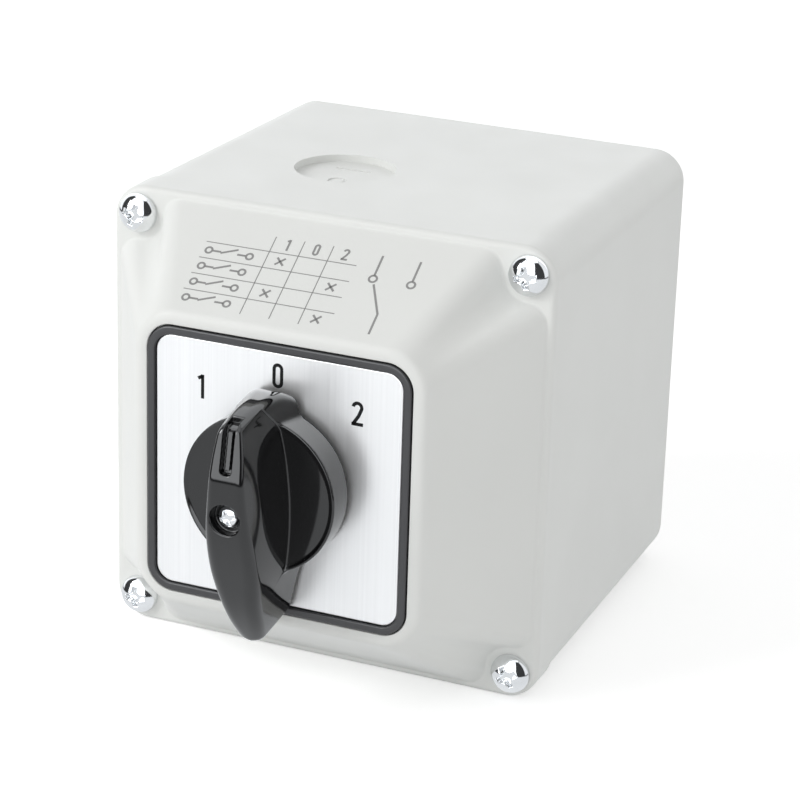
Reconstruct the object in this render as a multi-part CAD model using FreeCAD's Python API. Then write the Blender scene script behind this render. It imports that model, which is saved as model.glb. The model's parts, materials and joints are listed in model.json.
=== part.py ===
"""Manual changeover (transfer) switch, 20 A, three positions 1-0-2, in a wall-mounted plastic enclosure.

Frame: origin at the centre of the enclosure's flat back, which lies on the wall. +Y points into the wall,
-Y towards the user, +Z up, +X to the user's right. Millimetres.

The enclosure is a deep box and a screwed-on cover with a raised, tapered boss. The boss carries a square
black escutcheon with a metal label, and a lever knob. Behind the cover hangs a cam switch: an index unit
with a star wheel and two sprung balls, five contact chambers with one cam and two bridging contacts each,
and an end plate, all held by two tie bolts.
"""
import FreeCAD
import Part
import math
import os

V = FreeCAD.Vector

# ---------------------------------------------------------------- enclosure, driving sizes
SIZE = 108.0                # width and height of the cover
COVER_CORNER_R = 8.0
BASE_HALF = 53.8            # half width of the base at the seam
BASE_REAR_HALF = 52.7       # half width of the base at the wall: moulding draft
BASE_CORNER_R = 8.6
BASE_REAR_CORNER_R = 7.6
BASE_BACK_EDGE_R = 3.0
WALL = 3.2
SEAM_Y = -84.5              # where cover and base meet
PAD_Y = -94.0               # front of the cover's rim and of its screw pads
FACE_Y = -119.6             # front of the boss
FRAME_Y = -120.0            # front of the escutcheon frame
RIM_EDGE_R = 1.4
SCREW_POS = 47.6            # cover screws, from the centre, both ways

# ---------------------------------------------------------------- boss on the cover
BOSS_HALF = 52.2            # boss outline on the rim
BOSS_TOP_HALF = 34.6        # where slope and face would meet sharp
BOSS_TOP_CORNER_R = 9.5
BOSS_TOP_EDGE_R = 3.0
NOTCH_R = 6.4               # hollow round each cover screw
BOSS_INNER_HALF = 49.0
BOSS_INNER_NOTCH_R = 9.4
BOSS_INNER_TOP_HALF = 32.0

# ---------------------------------------------------------------- seal and cavity
CAVITY_HALF = 50.6
CAVITY_NOTCH_R = 7.2
CAVITY_TOP_Y = -92.0
GASKET_HALF = 52.7
GASKET_WIDTH = 1.4
GASKET_NOTCH_R = 4.6
GASKET_HEIGHT = 1.8

# ---------------------------------------------------------------- escutcheon and label
FRAME_HALF = 31.8
FRAME_CORNER_R = 6.0
POCKET_GAP = 0.2
POCKET_FLOOR_Y = -117.0
PLATE_GASKET_T = 0.5
LABEL_HALF = 29.7
LABEL_CORNER_R = 4.0
LABEL_BACK_Y = -118.7
LABEL_T = 0.7
LABEL_GAP = 0.2
PANEL_SCREW_POS = 18.0
COVER_INNER_FACE_Y = -114.0

# ---------------------------------------------------------------- cable entries and wall holes
KNOCKOUT_R = 12.0
KNOCKOUT_DEPTH = 1.8
KNOCKOUT_Y = -57.0
MARK_DEPTH = 0.25           # plain size mark engraved in each knockout
TOP_KNOCKOUT_X = (-13.0,)
BOTTOM_KNOCKOUT_X = (-22.0, 22.0)
WALL_HOLE_R = 2.65
WALL_HOLE_X = 35.0
WALL_HOLE_Z = 40.0

# ---------------------------------------------------------------- shaft and turning parts
SQUARE = 7.0                # shaft across flats
SQUARE_HOLE = 7.1
JOURNAL_R = 5.0
RUNNING_GAP = 0.05
SHAFT_FRONT_Y = -136.0
KNOB_BACK_Y = -120.9
TURN = 45.0                 # degrees from 0 to position 1 or 2

# ---------------------------------------------------------------- cam switch stack
BODY_HALF = 24.0
INDEX_FRONT_Y = COVER_INNER_FACE_Y
INDEX_T = 14.0
INDEX_WALL = 2.5
INDEX_BASE_T = 2.0
LAYERS = 5
LAYER_T = 12.0
LAYER_FLOOR = 2.0
END_T = 4.0
TIE_X = 17.0
TIE_R = 2.0
NUT_R = 4.04                # across the corners, halved: 7 mm across flats
CAM_R0 = 8.0                # cam radius under both followers at rest
LIFT = 1.6                  # follower travel from 0 to either position
CAM_GAP = 0.12
BRIDGE_Z = 13.5             # underside of the moving bridge at rest
BRIDGE_T = 1.2
TIP_T = 0.8
STRIP_T = 1.2
STRIP_W = 7.0
CLOSED_GAP = 0.04
TERMINAL_Z = 13.7
STAR_MID_R = 10.3
STAR_AMP = 0.7
BALL_R = 2.5

STACK_Y = INDEX_FRONT_Y + INDEX_T + INDEX_BASE_T      # front of the first chamber
END_Y = STACK_Y + LAYERS * LAYER_T                    # front of the end plate
CLIP_Y = END_Y + END_T + 0.1                          # front of the shaft's retaining ring
CLIP_T = 0.7
SHAFT_REAR_Y = CLIP_Y + CLIP_T + 1.6

os.makedirs("parts", exist_ok=True)


# ================================================================ helpers
def box(x0, x1, y0, y1, z0, z1):
    return Part.makeBox(x1 - x0, y1 - y0, z1 - z0, V(x0, y0, z0))


def cyl(radius, start, end):
    """Cylinder between two points."""
    a, b = V(*start), V(*end)
    return Part.makeCylinder(radius, (b - a).Length, a, b - a)


def cyl_y(radius, y0, y1, x=0.0, z=0.0):
    return cyl(radius, (x, y0, z), (x, y1, z))


def cone_y(r0, r1, y0, y1, x=0.0, z=0.0):
    return Part.makeCone(r0, r1, y1 - y0, V(x, y0, z), V(0, 1, 0))


def ring_y(r_out, r_in, y0, y1, x=0.0, z=0.0):
    return cyl_y(r_out, y0, y1, x, z).cut(cyl_y(r_in, y0 - 1, y1 + 1, x, z))


def torus_y(r_ring, r_section, y, x=0.0, z=0.0):
    return Part.makeTorus(r_ring, r_section, V(x, y, z), V(0, 1, 0))


def arc(centre, radius, a0, a1, y):
    """Arc in the XZ plane at depth y, from angle a0 to a1 in degrees, either way round."""
    def at(angle):
        t = math.radians(angle)
        return V(centre[0] + radius * math.cos(t), y, centre[1] + radius * math.sin(t))
    return Part.Arc(at(a0), at((a0 + a1) / 2), at(a1)).toShape()


def rounded_square(half, radius, y, parts=1):
    """Closed wire in the XZ plane. Each corner arc is split into equal parts."""
    edges = []
    c = half - radius
    sides = [((half, -c), (half, c)), ((c, half), (-c, half)),
             ((-half, c), (-half, -c)), ((-c, -half), (c, -half))]
    corners = [((c, c), 0), ((-c, c), 90), ((-c, -c), 180), ((c, -c), 270)]
    for (p, q), (centre, a0) in zip(sides, corners):
        edges.append(Part.makeLine(V(p[0], y, p[1]), V(q[0], y, q[1])))
        step = 90.0 / parts
        for k in range(parts):
            edges.append(arc(centre, radius, a0 + k * step, a0 + (k + 1) * step, y))
    return Part.Wire(edges)


def notched_square(half, notch_r, y):
    """Square outline whose corners are hollowed round the cover screws, with tangent arcs all round."""
    s = SCREW_POS
    corner_r = half - s
    low = s - notch_r - corner_r
    edges = []
    for turn in (0, 90, 180, 270):
        t = math.radians(turn)
        cos_t, sin_t = round(math.cos(t)), round(math.sin(t))

        def place(p, cos_t=cos_t, sin_t=sin_t):
            return (p[0] * cos_t - p[1] * sin_t, p[0] * sin_t + p[1] * cos_t)
        a, b = place((half, -low)), place((half, low))
        edges.append(Part.makeLine(V(a[0], y, a[1]), V(b[0], y, b[1])))
        edges.append(arc(place((s, low)), corner_r, turn, turn + 90, y))
        edges.append(arc(place((s, s)), notch_r, turn + 270, turn + 180, y))
        edges.append(arc(place((low, s)), corner_r, turn, turn + 90, y))
    return Part.Wire(edges)


def prism(wire, depth):
    return Part.Face(wire).extrude(V(0, depth, 0))


def ruled_solid(*wires):
    return Part.makeLoft(list(wires), True, True)


def four(position, maker):
    """The same feature at the four corners of a square pattern."""
    return [maker(sx * position, sz * position) for sx in (-1, 1) for sz in (-1, 1)]


def fuse_all(shapes):
    first, rest = shapes[0], shapes[1:]
    return first.multiFuse(rest).removeSplitter() if rest else first


def fillet(shape, radius, picker):
    """Rounds the edges that picker accepts, and keeps the sharp shape where the kernel can't."""
    edges = [e for e in shape.Edges if picker(e)]
    try:
        done = shape.makeFillet(radius, edges)
    except Exception as problem:
        print("fillet left out:", problem)
        return shape
    good = done.isValid() and done.Volume > 0
    if not good:
        print("fillet left out: invalid result")
    return done if good else shape


def flat_at(edge, y):
    """True if an edge lies wholly at depth y."""
    return abs(edge.BoundBox.YMin - y) < 1e-4 and abs(edge.BoundBox.YMax - y) < 1e-4


def save(name, shapes):
    solids = []
    for shape in (shapes if isinstance(shapes, list) else [shapes]):
        solids += shape.Solids
    for solid in solids:
        if not solid.isValid():
            print("invalid solid in", name)
    shape = solids[0] if len(solids) == 1 else Part.makeCompound(solids)
    shape.exportStep("parts/" + name + ".step")


# ================================================================ fasteners and springs
def phillips(top_y, reach, depth, width, x, z):
    """Cross recess cutter that starts just above top_y, on the -Y side, and tapers to depth."""
    start, end = top_y - 0.3, top_y + depth
    bars = [box(x - reach, x + reach, start, end, z - width / 2, z + width / 2),
            box(x - width / 2, x + width / 2, start, end, z - reach, z + reach)]
    taper = cone_y(reach, width * 0.45, start, end, x, z)
    return bars[0].fuse(bars[1]).common(taper)


def turned(points, bulge, x, z):
    """Solid of revolution about an axis along Y. An arc through bulge joins the first two points."""
    start, end = V(points[0][0], points[0][1], 0), V(points[1][0], points[1][1], 0)
    edges = [Part.Arc(start, V(bulge[0], bulge[1], 0), end).toShape()]
    rest = [V(r, y, 0) for r, y in points[1:]] + [start]
    edges += [Part.makeLine(a, b) for a, b in zip(rest, rest[1:])]
    solid = Part.Face(Part.Wire(edges)).revolve(V(0, 0, 0), V(0, 1, 0), 360)
    solid.translate(V(x, 0, z))
    return solid


def pan_screw(x, z, seat_y, head_r, head_h, shank_r, length):
    """Pan-head cross-recess screw pointing along +Y, its head seated at seat_y."""
    top, tip = seat_y - head_h, seat_y + length
    points = [(0, top), (head_r, seat_y - head_h * 0.3), (head_r, seat_y), (shank_r, seat_y),
              (shank_r, tip - shank_r * 0.5), (shank_r * 0.6, tip), (0, tip)]
    solid = turned(points, (head_r * 0.62, top + head_h * 0.2), x, z)
    return solid.cut(phillips(top, head_r * 0.56, head_h * 0.68, head_r * 0.25, x, z))


def countersunk_screw(x, z, top_y, head_r, shank_r, length):
    head = cone_y(head_r, shank_r, top_y, top_y + head_r - shank_r, x, z)
    body = fuse_all([head, cyl_y(shank_r, top_y + head_r - shank_r, top_y + length, x, z)])
    return body.cut(phillips(top_y, head_r * 0.55, 1.6, head_r * 0.24, x, z))


def spring(start, direction, mean_r, wire_r, height, turns):
    """Helical compression spring that starts at a point and runs along a direction."""
    pitch = (height - 2 * wire_r) / turns
    helix = Part.makeHelix(pitch, height - 2 * wire_r, mean_r)
    circle = Part.Wire([Part.makeCircle(wire_r, V(mean_r, 0, 0), V(0, 1, 0))])
    solid = Part.Wire(helix.Edges).makePipeShell([circle], True, True)
    solid.translate(V(0, 0, wire_r))
    rotation = FreeCAD.Rotation(V(0, 0, 1), V(*direction))
    solid.Placement = FreeCAD.Placement(V(*start), rotation).multiply(solid.Placement)
    return solid


# ================================================================ enclosure
def knockout_cuts():
    """Round recesses that leave a thin breakable web, with a plain engraved size mark in each."""
    cuts = []
    surface = BASE_HALF + (BASE_REAR_HALF - BASE_HALF) * (KNOCKOUT_Y - SEAM_Y) / (0 - SEAM_Y)
    floor = surface - KNOCKOUT_DEPTH
    for side, places in ((1, TOP_KNOCKOUT_X), (-1, BOTTOM_KNOCKOUT_X)):
        for x in places:
            a, b = (x, KNOCKOUT_Y, side * floor), (x, KNOCKOUT_Y, side * (surface + 3))
            cuts.append(cyl(KNOCKOUT_R, a, b))
            z0, z1 = sorted((side * (floor - MARK_DEPTH), side * floor))
            bar = box(x - 4.5, x + 4.5, KNOCKOUT_Y + 4.6, KNOCKOUT_Y + 5.4, z0, z1)
            ring_y0 = KNOCKOUT_Y - 4.5
            outer = cyl(2.2, (x, ring_y0, z0), (x, ring_y0, z1))
            cuts += [bar, outer.cut(cyl(1.5, (x, ring_y0, z0), (x, ring_y0, z1)))]
    return cuts


def base_box():
    """Deep rear box: drafted walls, corner posts for the cover screws, wall holes, cable entries."""
    outer = ruled_solid(rounded_square(BASE_HALF, BASE_CORNER_R, SEAM_Y),
                        rounded_square(BASE_REAR_HALF, BASE_REAR_CORNER_R, 0.0))
    outer = fillet(outer, BASE_BACK_EDGE_R, lambda e: flat_at(e, 0.0))
    cavity = prism(notched_square(CAVITY_HALF, CAVITY_NOTCH_R, SEAM_Y - 1), -WALL - SEAM_Y + 1)
    cuts = [cavity]
    ring = prism(notched_square(GASKET_HALF, GASKET_NOTCH_R, SEAM_Y), 1.0)
    inner_outline = notched_square(GASKET_HALF - GASKET_WIDTH, GASKET_NOTCH_R + GASKET_WIDTH, SEAM_Y - 1)
    inner = prism(inner_outline, 3.0)
    cuts.append(ring.cut(inner))
    cuts += four(SCREW_POS, lambda x, z: cyl_y(3.5, SEAM_Y - 1, SEAM_Y + 10.5, x, z))
    cuts += four(SCREW_POS, lambda x, z: cyl_y(2.6, SEAM_Y, SEAM_Y + 22, x, z))
    for sx in (-1, 1):
        for sz in (-1, 1):
            cuts.append(cyl_y(WALL_HOLE_R, -WALL - 3, 1, sx * WALL_HOLE_X, sz * WALL_HOLE_Z))
    bosses = []
    for sx in (-1, 1):
        for sz in (-1, 1):
            bosses.append(cyl_y(5.5, -WALL - 2.0, -WALL + 0.5, sx * WALL_HOLE_X, sz * WALL_HOLE_Z))
    shell = outer.cut(cuts[0]).fuse(bosses)
    return shell.cut(cuts[1:] + knockout_cuts()).removeSplitter()


def cover_boss():
    """The tapered boss: a notched square on the rim, ruled to a rounded square at the face."""
    base = notched_square(BOSS_HALF, NOTCH_R, PAD_Y)
    top = rounded_square(BOSS_TOP_HALF, BOSS_TOP_CORNER_R, FACE_Y, parts=3)
    return fillet(ruled_solid(base, top), BOSS_TOP_EDGE_R, lambda e: flat_at(e, FACE_Y))


def front_cover():
    """Cover: rim with screw pads, boss, pocket for the escutcheon, holes for the shaft and the screws."""
    rim = prism(rounded_square(SIZE / 2, COVER_CORNER_R, PAD_Y), SEAM_Y - PAD_Y)
    rim = fillet(rim, RIM_EDGE_R, lambda e: flat_at(e, PAD_Y))
    body = rim.fuse(cover_boss())
    lower = prism(notched_square(CAVITY_HALF, CAVITY_NOTCH_R, CAVITY_TOP_Y), SEAM_Y - CAVITY_TOP_Y + 1)
    upper = ruled_solid(notched_square(BOSS_INNER_HALF, BOSS_INNER_NOTCH_R, CAVITY_TOP_Y + 0.01),
                        rounded_square(BOSS_INNER_TOP_HALF, 6.0, COVER_INNER_FACE_Y, parts=3))
    pocket_half = FRAME_HALF + POCKET_GAP
    pocket_outline = rounded_square(pocket_half, FRAME_CORNER_R + POCKET_GAP, FACE_Y - 1)
    pocket = prism(pocket_outline, POCKET_FLOOR_Y - FACE_Y + 1)
    groove = prism(notched_square(GASKET_HALF, GASKET_NOTCH_R, SEAM_Y - 0.8), 0.8)
    core = prism(notched_square(GASKET_HALF - GASKET_WIDTH, GASKET_NOTCH_R + GASKET_WIDTH, SEAM_Y - 2), 4.0)
    cuts = [lower, upper, pocket, groove.cut(core), cyl_y(11.0, FACE_Y - 1, CAVITY_TOP_Y)]
    cuts += four(PANEL_SCREW_POS, lambda x, z: cyl_y(2.3, FACE_Y - 1, CAVITY_TOP_Y, x, z))
    cuts += four(SCREW_POS, lambda x, z: cyl_y(2.8, PAD_Y - 1, SEAM_Y + 1, x, z))
    cuts += four(SCREW_POS, lambda x, z: cyl_y(4.0, PAD_Y - 1, PAD_Y + 1.2, x, z))
    return body.cut(cuts).removeSplitter()


def cover_gasket():
    """Moulded rubber cord seal that lies half in the base's groove and half in the cover's."""
    ring = prism(notched_square(GASKET_HALF - 0.1, GASKET_NOTCH_R + 0.1, SEAM_Y - 0.8), GASKET_HEIGHT)
    core = prism(notched_square(GASKET_HALF - GASKET_WIDTH + 0.1, GASKET_NOTCH_R + GASKET_WIDTH - 0.1,
                                SEAM_Y - 2), GASKET_HEIGHT + 4)
    return ring.cut(core)


def cover_fixings():
    save("cover_screws", four(SCREW_POS, lambda x, z: pan_screw(x, z, PAD_Y, 4.7, 3.6, 2.5, 24.0)))
    save("cover_screw_seals", four(SCREW_POS, lambda x, z: torus_y(3.25, 0.58, PAD_Y + 0.6, x, z)))
    save("screw_inserts",
         four(SCREW_POS, lambda x, z: ring_y(3.5, 2.55, SEAM_Y + 0.5, SEAM_Y + 10.5, x, z)))


# ================================================================ front plate
def escutcheon_frame():
    """Black plastic front plate: a raised square frame round a recess for the metal label."""
    back = POCKET_FLOOR_Y - PLATE_GASKET_T
    body = prism(rounded_square(FRAME_HALF, FRAME_CORNER_R, FRAME_Y), back - FRAME_Y)
    body = fillet(body, 0.6, lambda e: flat_at(e, FRAME_Y))
    recess_half = LABEL_HALF + LABEL_GAP
    recess_outline = rounded_square(recess_half, LABEL_CORNER_R + LABEL_GAP, FRAME_Y - 1)
    recess = prism(recess_outline, LABEL_BACK_Y - FRAME_Y + 1)
    cuts = [recess, cyl_y(7.0, FRAME_Y, back + 1)]
    cuts += four(PANEL_SCREW_POS,
                 lambda x, z: cone_y(3.8, 2.1, LABEL_BACK_Y - 0.1, LABEL_BACK_Y + 1.6, x, z))
    body = body.cut(cuts)
    return fillet(body, 0.25, lambda e: flat_at(e, FRAME_Y) and inside_half(e, recess_half + 0.1))


def inside_half(edge, half):
    b = edge.BoundBox
    return max(abs(b.XMin), abs(b.XMax), abs(b.ZMin), abs(b.ZMax)) < half


def label_plate():
    """Brushed metal label, its front edge chamfered."""
    front = LABEL_BACK_Y - LABEL_T
    plate = prism(rounded_square(LABEL_HALF, LABEL_CORNER_R, front), LABEL_T)
    edges = [e for e in plate.Edges if flat_at(e, front)]
    plate = plate.makeChamfer(0.3, edges)
    return plate.cut(cyl_y(6.5, front - 1, LABEL_BACK_Y + 1))


def plate_gasket():
    sheet = prism(rounded_square(FRAME_HALF - 0.5, FRAME_CORNER_R - 0.5, POCKET_FLOOR_Y - PLATE_GASKET_T),
                  PLATE_GASKET_T)
    holes = four(PANEL_SCREW_POS, lambda x, z: cyl_y(2.7, POCKET_FLOOR_Y - 2, POCKET_FLOOR_Y + 1, x, z))
    return sheet.cut([cyl_y(11.0, POCKET_FLOOR_Y - 2, POCKET_FLOOR_Y + 1)] + holes)


# ================================================================ knob
KNOB_DISC_R = 18.2
KNOB_DISC_TOP = 8.8         # heights are measured from the escutcheon's front
KNOB_BACK = FRAME_Y - KNOB_BACK_Y
DISH_OUT_R = 17.0
DISH_IN_R = 4.3
DISH_LOW = 4.6
DISH_MID = (12.5, 6.0)      # radius and height half way up the dish
FINGER_WALL_X = 5.8         # flat side of the grip inside the finger dish
SCREW_HOLE_R = 3.6
SCREW_SEAT = 21.9
SCREW_HEAD_R = 2.8
GROOVE_HALF = 1.5           # pointer groove along the ridge
GROOVE_FLOOR = 22.6
GROOVE_START_Z = 10.5
GROOVE_END_FLOOR = 19.5     # where the groove runs out over the pointer end
GROOVE_END_Z = 20.4
RIB_HALF = 0.5
RIB_TOP = 24.1
RIB_START_Z = 11.3
# Half width of the grip along its length (Z, half width), pointer end first.
GRIP_REAR = [(17.5, 6.2), (8.0, 8.8), (-4.0, 9.0), (-14.0, 7.6), (-22.0, 5.9), (-27.5, 4.7)]
GRIP_MID = [(18.5, 4.4), (8.0, 5.5), (-4.0, 5.9), (-14.0, 5.7), (-22.0, 5.1), (-28.5, 4.0)]
GRIP_FRONT = [(18.0, 2.7), (8.0, 4.2), (-2.0, 5.0), (-10.0, 5.1), (-18.0, 4.8), (-26.0, 3.7)]
# Side outline of the grip (Z, height), from the plate round the pointer end and along the front.
GRIP_TOP_END = [(21.4, KNOB_BACK), (22.3, 8.0), (22.0, 15.0), (21.4, 19.5)]
GRIP_RIDGE = [(19.6, 23.1), (9.4, 25.0), (0.0, 25.1), (-10.0, 22.9), (-23.8, 18.0), (-32.6, 12.7)]
GRIP_SHOULDER = (20.9, 21.9)
GRIP_NOSE = (-34.1, 11.7)
GRIP_TIP = (-34.6, 10.9)
GRIP_HEEL = (-30.7, KNOB_BACK)


def grip_section(points, top_z, tip_z, height):
    """Closed outline of the grip in the XZ plane at a height above the escutcheon's front."""
    y = FRAME_Y - height
    right = [V(w, y, z) for z, w in points]
    left = [V(-p.x, y, p.z) for p in reversed(right)]
    flank_right, flank_left = Part.BSplineCurve(), Part.BSplineCurve()
    flank_right.interpolate(right)
    flank_left.interpolate(left)
    tip = Part.BSplineCurve()
    tip.interpolate([right[-1], V(0, y, tip_z), left[0]], InitialTangent=V(-0.7, 0, -1.0),
                    FinalTangent=V(-0.7, 0, 1.0))
    end = Part.BSplineCurve()
    end.interpolate([left[-1], V(0, y, top_z), right[0]], InitialTangent=V(0.8, 0, 1.0),
                    FinalTangent=V(0.8, 0, -1.0))
    return Part.Wire([flank_right.toShape(), tip.toShape(), flank_left.toShape(), end.toShape()])


def grip_side_profile():
    """Prism of the grip's side outline, wide enough to trim the flared body."""
    def pt(p):
        return V(-20, FRAME_Y - p[1], p[0])
    end = Part.BSplineCurve()
    end.interpolate([pt(p) for p in GRIP_TOP_END])
    shoulder = Part.Arc(pt(GRIP_TOP_END[-1]), pt(GRIP_SHOULDER), pt(GRIP_RIDGE[0])).toShape()
    ridge = Part.BSplineCurve()
    ridge.interpolate([pt(p) for p in GRIP_RIDGE])
    nose = Part.Arc(pt(GRIP_RIDGE[-1]), pt(GRIP_NOSE), pt(GRIP_TIP)).toShape()
    heel = Part.makeLine(pt(GRIP_TIP), pt(GRIP_HEEL))
    back = Part.makeLine(pt(GRIP_HEEL), pt(GRIP_TOP_END[0]))
    wire = Part.Wire([end.toShape(), shoulder, ridge.toShape(), nose, heel, back])
    return Part.Face(wire).extrude(V(40, 0, 0))


def dish_cutter():
    """Ring-shaped finger dish in the disc, turned about the shaft, open to the front outside the grip."""
    def pt(r, height):
        return V(r, FRAME_Y - height, 0)
    above = 30
    inner_low, inner_high = pt(DISH_IN_R, DISH_LOW), pt(DISH_IN_R, above)
    outer_low, outer_high = pt(DISH_OUT_R, KNOB_DISC_TOP), pt(DISH_OUT_R, above)
    wire = Part.Wire([Part.Arc(inner_low, pt(*DISH_MID), outer_low).toShape(),
                      Part.makeLine(outer_low, outer_high),
                      Part.makeLine(outer_high, inner_high),
                      Part.makeLine(inner_high, inner_low)])
    turned = Part.Face(wire).revolve(V(0, 0, 0), V(0, 1, 0), 360)
    reach = 2 * KNOB_DISC_R
    grip_zone = box(-FINGER_WALL_X, FINGER_WALL_X, FRAME_Y - above - 1, FRAME_Y, -reach, reach)
    return turned.cut(grip_zone)


def knob():
    """Lever knob: a disc with a flared grip across it, a finger dish on each side, and a recessed screw."""
    disc = cyl_y(KNOB_DISC_R, FRAME_Y - KNOB_DISC_TOP, KNOB_BACK_Y)
    disc = fillet(disc, 0.5, lambda e: flat_at(e, FRAME_Y - KNOB_DISC_TOP))
    sections = [grip_section(GRIP_REAR, 22.6, -32.5, KNOB_BACK - 0.2),
                grip_section(GRIP_MID, 22.6, -34.0, 13.0),
                grip_section(GRIP_FRONT, 21.8, -36.0, 26.0)]
    grip = Part.makeLoft(sections, True, False).common(grip_side_profile())
    grip = grip.cut(dish_cutter())
    body = disc.cut(dish_cutter()).fuse(grip)
    web = SQUARE_HOLE / 2
    socket = box(-web, web, SHAFT_FRONT_Y - 0.2, KNOB_BACK_Y + 1, -web, web)
    groove = indicator_groove()
    cuts = [socket, cyl_y(SCREW_HOLE_R, FRAME_Y - 30, FRAME_Y - SCREW_SEAT),
            cyl_y(1.7, FRAME_Y - 30, SHAFT_FRONT_Y), groove]
    return body.cut(cuts).removeSplitter()


def indicator_groove():
    """Pointer groove along the ridge and over the pointer end, with a narrow rib left standing in it."""
    w, above, beyond = GROOVE_HALF, FRAME_Y - 40, 24
    trough = box(-w, w, above, FRAME_Y - GROOVE_FLOOR, GROOVE_START_Z, beyond)
    over = box(-w, w, above, FRAME_Y - GROOVE_END_FLOOR, GROOVE_END_Z, beyond)
    rib = box(-RIB_HALF, RIB_HALF, FRAME_Y - RIB_TOP, FRAME_Y - GROOVE_END_FLOOR, RIB_START_Z, beyond)
    return trough.fuse(over).cut(rib)


# ================================================================ index unit
def star_radius(angle):
    """Eight shallow valleys, one every 45 degrees, with one at each ball when the knob is at 0."""
    return STAR_MID_R - STAR_AMP * math.cos(8 * angle)


def polar_prism(radius_of, y0, y1, start=0.0, stop=360.0, count=128):
    """Solid whose outline is a smooth closed curve given in polar form."""
    points = []
    for k in range(count):
        a = math.radians(start + (stop - start) * k / count)
        r = radius_of(a)
        points.append(V(r * math.cos(a), y0, r * math.sin(a)))
    curve = Part.BSplineCurve()
    curve.interpolate(points, PeriodicFlag=True)
    return Part.Face(Part.Wire([curve.toShape()])).extrude(V(0, y1 - y0, 0))


def square_hole(y0, y1):
    h = SQUARE_HOLE / 2
    return box(-h, h, y0, y1, -h, h)


def star_wheel():
    y0, y1 = INDEX_FRONT_Y + 5.2, INDEX_FRONT_Y + 12.4
    return polar_prism(star_radius, y0, y1).cut(square_hole(y0 - 1, y1 + 1))


STOP_LUG_HALF = 10.0        # degrees
STOP_DISC_Y = INDEX_FRONT_Y + 2.9


def wedge(radius, mid, half_angle, y0, y1):
    """Sector of a disc about the shaft."""
    a0, a1 = math.radians(mid - half_angle), math.radians(mid + half_angle)
    p0 = V(radius * math.cos(a0), y0, radius * math.sin(a0))
    p1 = V(radius * math.cos(a1), y0, radius * math.sin(a1))
    am = math.radians(mid)
    pm = V(radius * math.cos(am), y0, radius * math.sin(am))
    rim = Part.Arc(p0, pm, p1).toShape()
    wire = Part.Wire([Part.makeLine(V(0, y0, 0), p0), rim, Part.makeLine(p1, V(0, y0, 0))])
    return Part.Face(wire).extrude(V(0, y1 - y0, 0))


def stop_disc():
    """Stamped disc whose lug meets the housing's stops 45 degrees either side of 0."""
    y0, y1 = STOP_DISC_Y, STOP_DISC_Y + 1.6
    disc = fuse_all([cyl_y(8.2, y0, y1), wedge(11.6, 270, STOP_LUG_HALF, y0, y1)])
    return disc.cut(square_hole(y0 - 1, y1 + 1))


def index_housing():
    """Front body of the switch: wheel pocket, two ball channels, front bearing, rotation stops."""
    y0, y1 = INDEX_FRONT_Y, INDEX_FRONT_Y + INDEX_T
    block = prism(rounded_square(BODY_HALF, 2.0, y0), INDEX_T)
    floor = y0 + INDEX_WALL
    pocket = cyl_y(12.0, floor, y1 + 1)
    channels = [box(-4.1, 4.1, floor + 1.6, y1 + 1, s * 16 - 6.0, s * 16 + 6.0) for s in (-1, 1)]
    seal_seat = cyl_y(6.3, y0 - 1, y0 + 1.3)
    bearing = cyl_y(JOURNAL_R + RUNNING_GAP, y0 - 1, y1 + 1)
    holes = four(PANEL_SCREW_POS, lambda x, z: cyl_y(2.0, y0 - 1, y0 + 9, x, z))
    ties = [cyl_y(TIE_R + 0.1, floor + 5, y1 + 1, s * TIE_X, 0) for s in (-1, 1)]
    body = block.cut([pocket, seal_seat, bearing] + channels + holes)
    gap = 0.4
    stops = [wedge(12.2, 270 + s * (TURN + STOP_LUG_HALF + gap + 9), 9, floor - 0.5, STOP_DISC_Y + 1.8)
             for s in (-1, 1)]
    stops = [s.cut(cyl_y(8.6, floor - 1, STOP_DISC_Y + 3)) for s in stops]
    return body.fuse(stops).cut(ties).removeSplitter()


def index_base():
    """Thin plate that closes the index unit and the first chamber."""
    y0 = INDEX_FRONT_Y + INDEX_T
    plate = prism(rounded_square(BODY_HALF, 2.0, y0), INDEX_BASE_T)
    ties = [cyl_y(TIE_R + 0.1, y0 - 1, y0 + 4, s * TIE_X, 0) for s in (-1, 1)]
    return plate.cut([cyl_y(5.6, y0 - 1, y0 + 4)] + ties)


BALL_Y = INDEX_FRONT_Y + 8.8
BALL_Z = STAR_MID_R + STAR_AMP + 0.1 + BALL_R      # ball centre when lifted over a star tip
PLUNGER_END_Z = 18.0
CHANNEL_END_Z = 22.0


def detent_ball(side):
    return Part.makeSphere(BALL_R, V(0, BALL_Y, side * BALL_Z))


def detent_plunger(side):
    """Slider behind each ball, with a round cup in front and a spring pin behind."""
    z0, z1 = sorted((side * (BALL_Z + 0.6), side * PLUNGER_END_Z))
    block = box(-4.0, 4.0, BALL_Y - 3.9, BALL_Y + 3.9, z0, z1)
    pin = cyl(1.3, (0, BALL_Y, side * PLUNGER_END_Z), (0, BALL_Y, side * (PLUNGER_END_Z + 1.6)))
    cup = Part.makeSphere(BALL_R + 0.03, V(0, BALL_Y, side * BALL_Z))
    return block.fuse(pin).cut(cup).removeSplitter()


def detent_springs():
    height = CHANNEL_END_Z - PLUNGER_END_Z - 0.1
    return [spring((0, BALL_Y, s * (PLUNGER_END_Z + 0.05)), (0, 0, s), 1.9, 0.3, height, 3.5)
            for s in (-1, 1)]


def shaft_seal():
    return torus_y(JOURNAL_R + 0.62, 0.6, INDEX_FRONT_Y + 0.65)


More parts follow.
